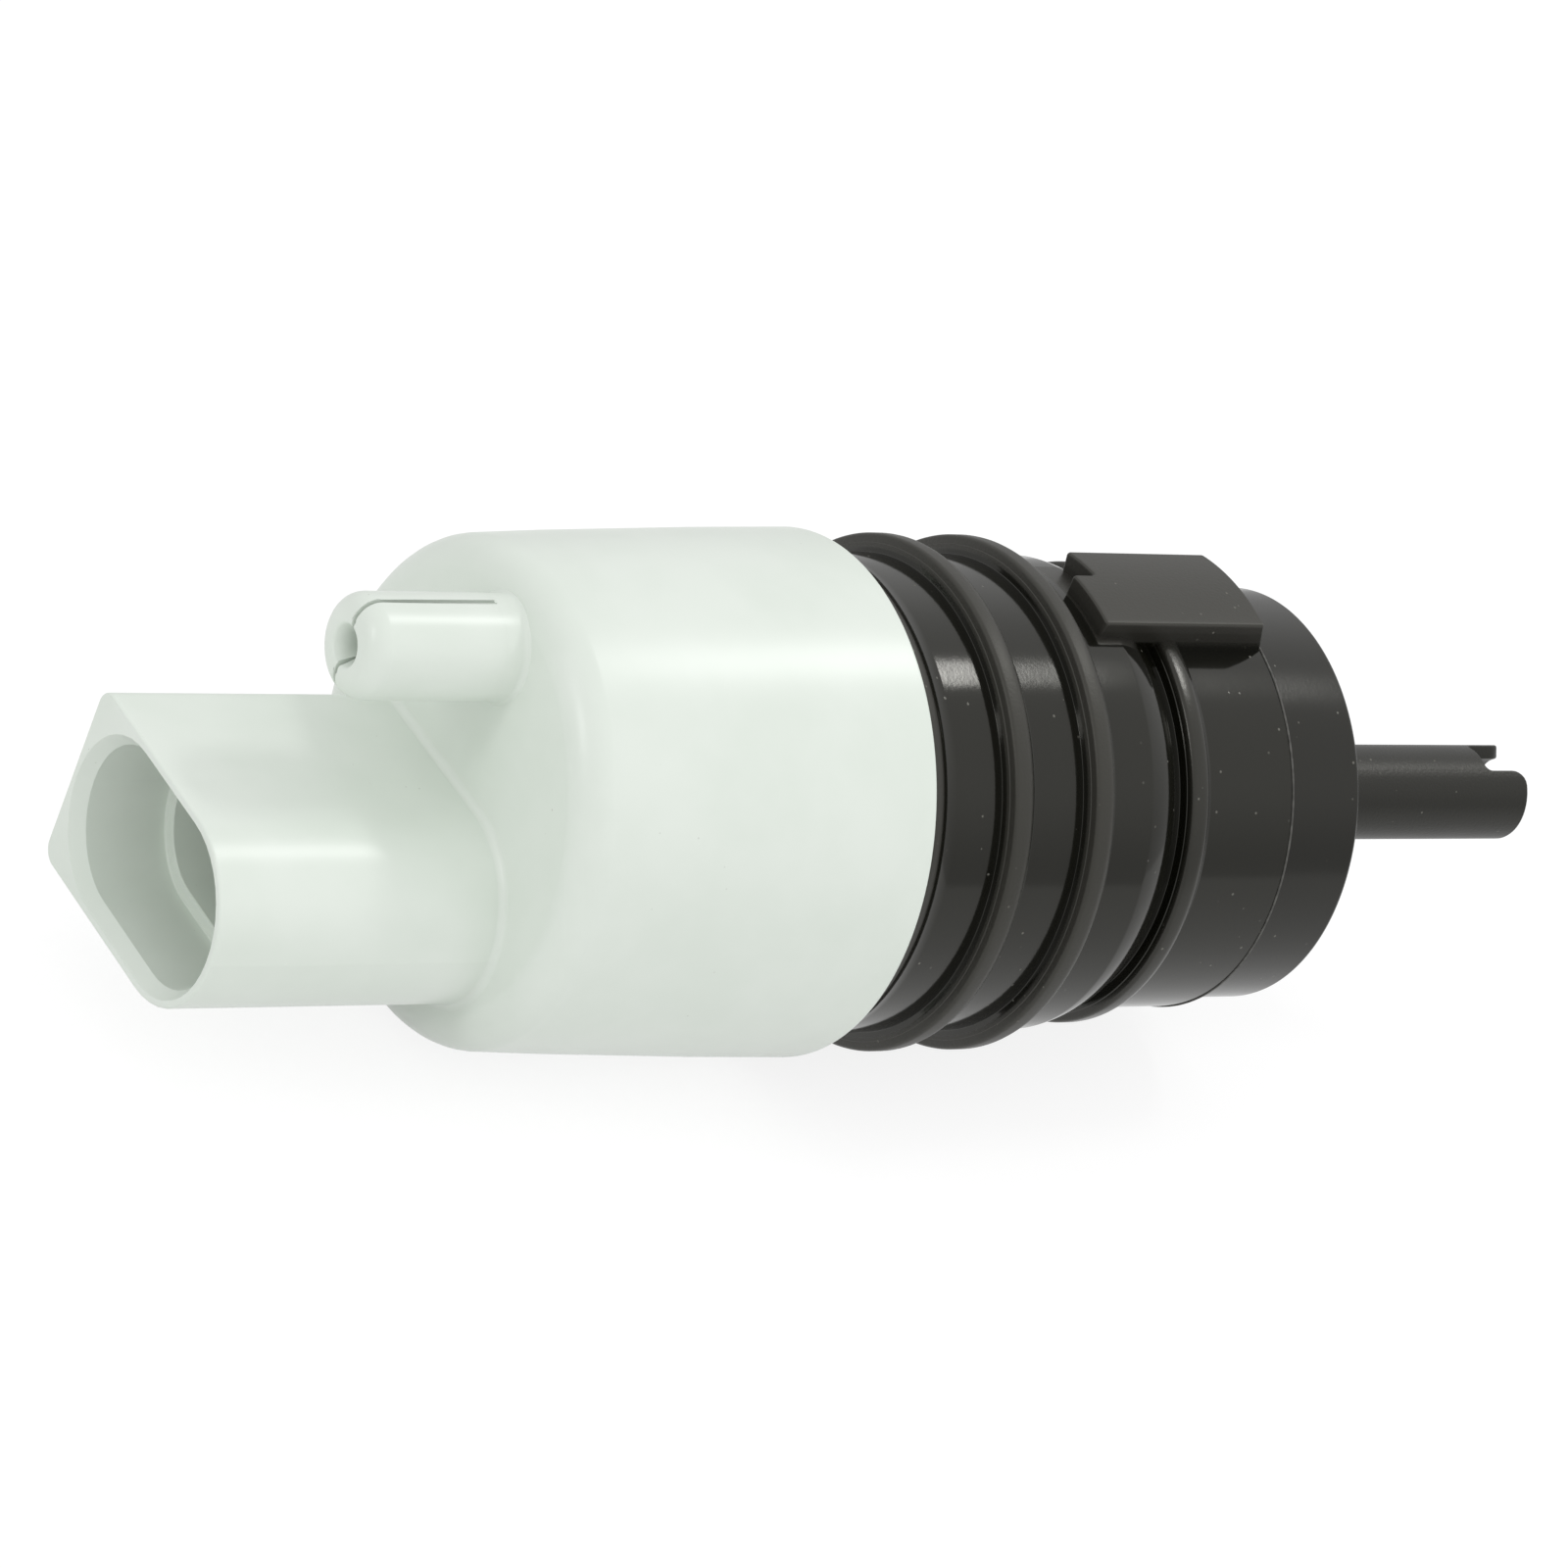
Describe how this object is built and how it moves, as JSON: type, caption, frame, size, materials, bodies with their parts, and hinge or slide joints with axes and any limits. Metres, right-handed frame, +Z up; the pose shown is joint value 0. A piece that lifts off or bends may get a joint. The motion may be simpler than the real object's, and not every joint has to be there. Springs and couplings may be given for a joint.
{
  "type": "windshield washer pump",
  "caption": "Cylindrical electric washer pump on its side: pale cap with keyed plug socket and vent boss, black ribbed body, stepped fixing lug, hollow notched inlet stub and barbed outlet.",
  "frame": {"origin": "on the pump axis, in the plane of the chamber cover's flat end face, where the inlet stub begins", "axes": "+X along the pump axis, out of the inlet stub; +Z up, through the fixing lug and the vent boss; +Y to the outlet side"},
  "size_m": [0.1058, 0.0425, 0.034],
  "materials": {
    "cap_plastic": "semi-gloss moulded, pale greenish white",
    "black_plastic": "semi-gloss moulded black",
    "cover_plastic": "satin moulded black",
    "felt": "felt",
    "tin": "tinned brass strip",
    "rubber_black": "moulded rubber",
    "steel_can": "zinc-plated drawn steel",
    "bell_plastic": "glass-filled nylon",
    "ferrite": "sintered ferrite, ground",
    "spring_steel": "spring steel strip",
    "carbon": "carbon block",
    "bronze": "sintered bronze",
    "shaft_steel": "ground steel",
    "laminations": "stacked sheet steel",
    "copper": "enamelled copper wire",
    "commutator_copper": "bare copper",
    "washer_plastic": "low-friction plastic",
    "impeller_plastic": "moulded plastic"
  },
  "bodies": {
    "casing": {"connector_cap": "cap_plastic", "pump_housing": "black_plastic", "chamber_cover": "cover_plastic", "terminal_blade_near": "tin", "terminal_blade_far": "tin", "vent_filter": "felt", "cap_seal_ring": "rubber_black", "motor_can": "steel_can", "motor_end_bell": "bell_plastic", "magnet_upper": "ferrite", "magnet_lower": "ferrite", "magnet_spring_near": "spring_steel", "magnet_spring_far": "spring_steel", "brush_near": "carbon", "brush_far": "carbon", "brush_arm_near": "spring_steel", "brush_arm_far": "spring_steel", "rear_bearing": "bronze", "front_bearing": "bronze", "motor_damper": "rubber_black", "shaft_seal": "rubber_black", "seal_retainer": "black_plastic"},
    "rotor": {"motor_shaft": "shaft_steel", "armature_core": "laminations", "armature_winding": "copper", "commutator": "commutator_copper", "rear_thrust_washer": "washer_plastic", "front_thrust_washer": "washer_plastic", "impeller": "impeller_plastic"}
  },
  "joints": [
    {"name": "rotor_spin", "type": "hinge", "parent": "casing", "child": "rotor", "pos_m": [-0.03, 0, 0], "axis": [1, 0, 0], "continuous": true}
  ]
}
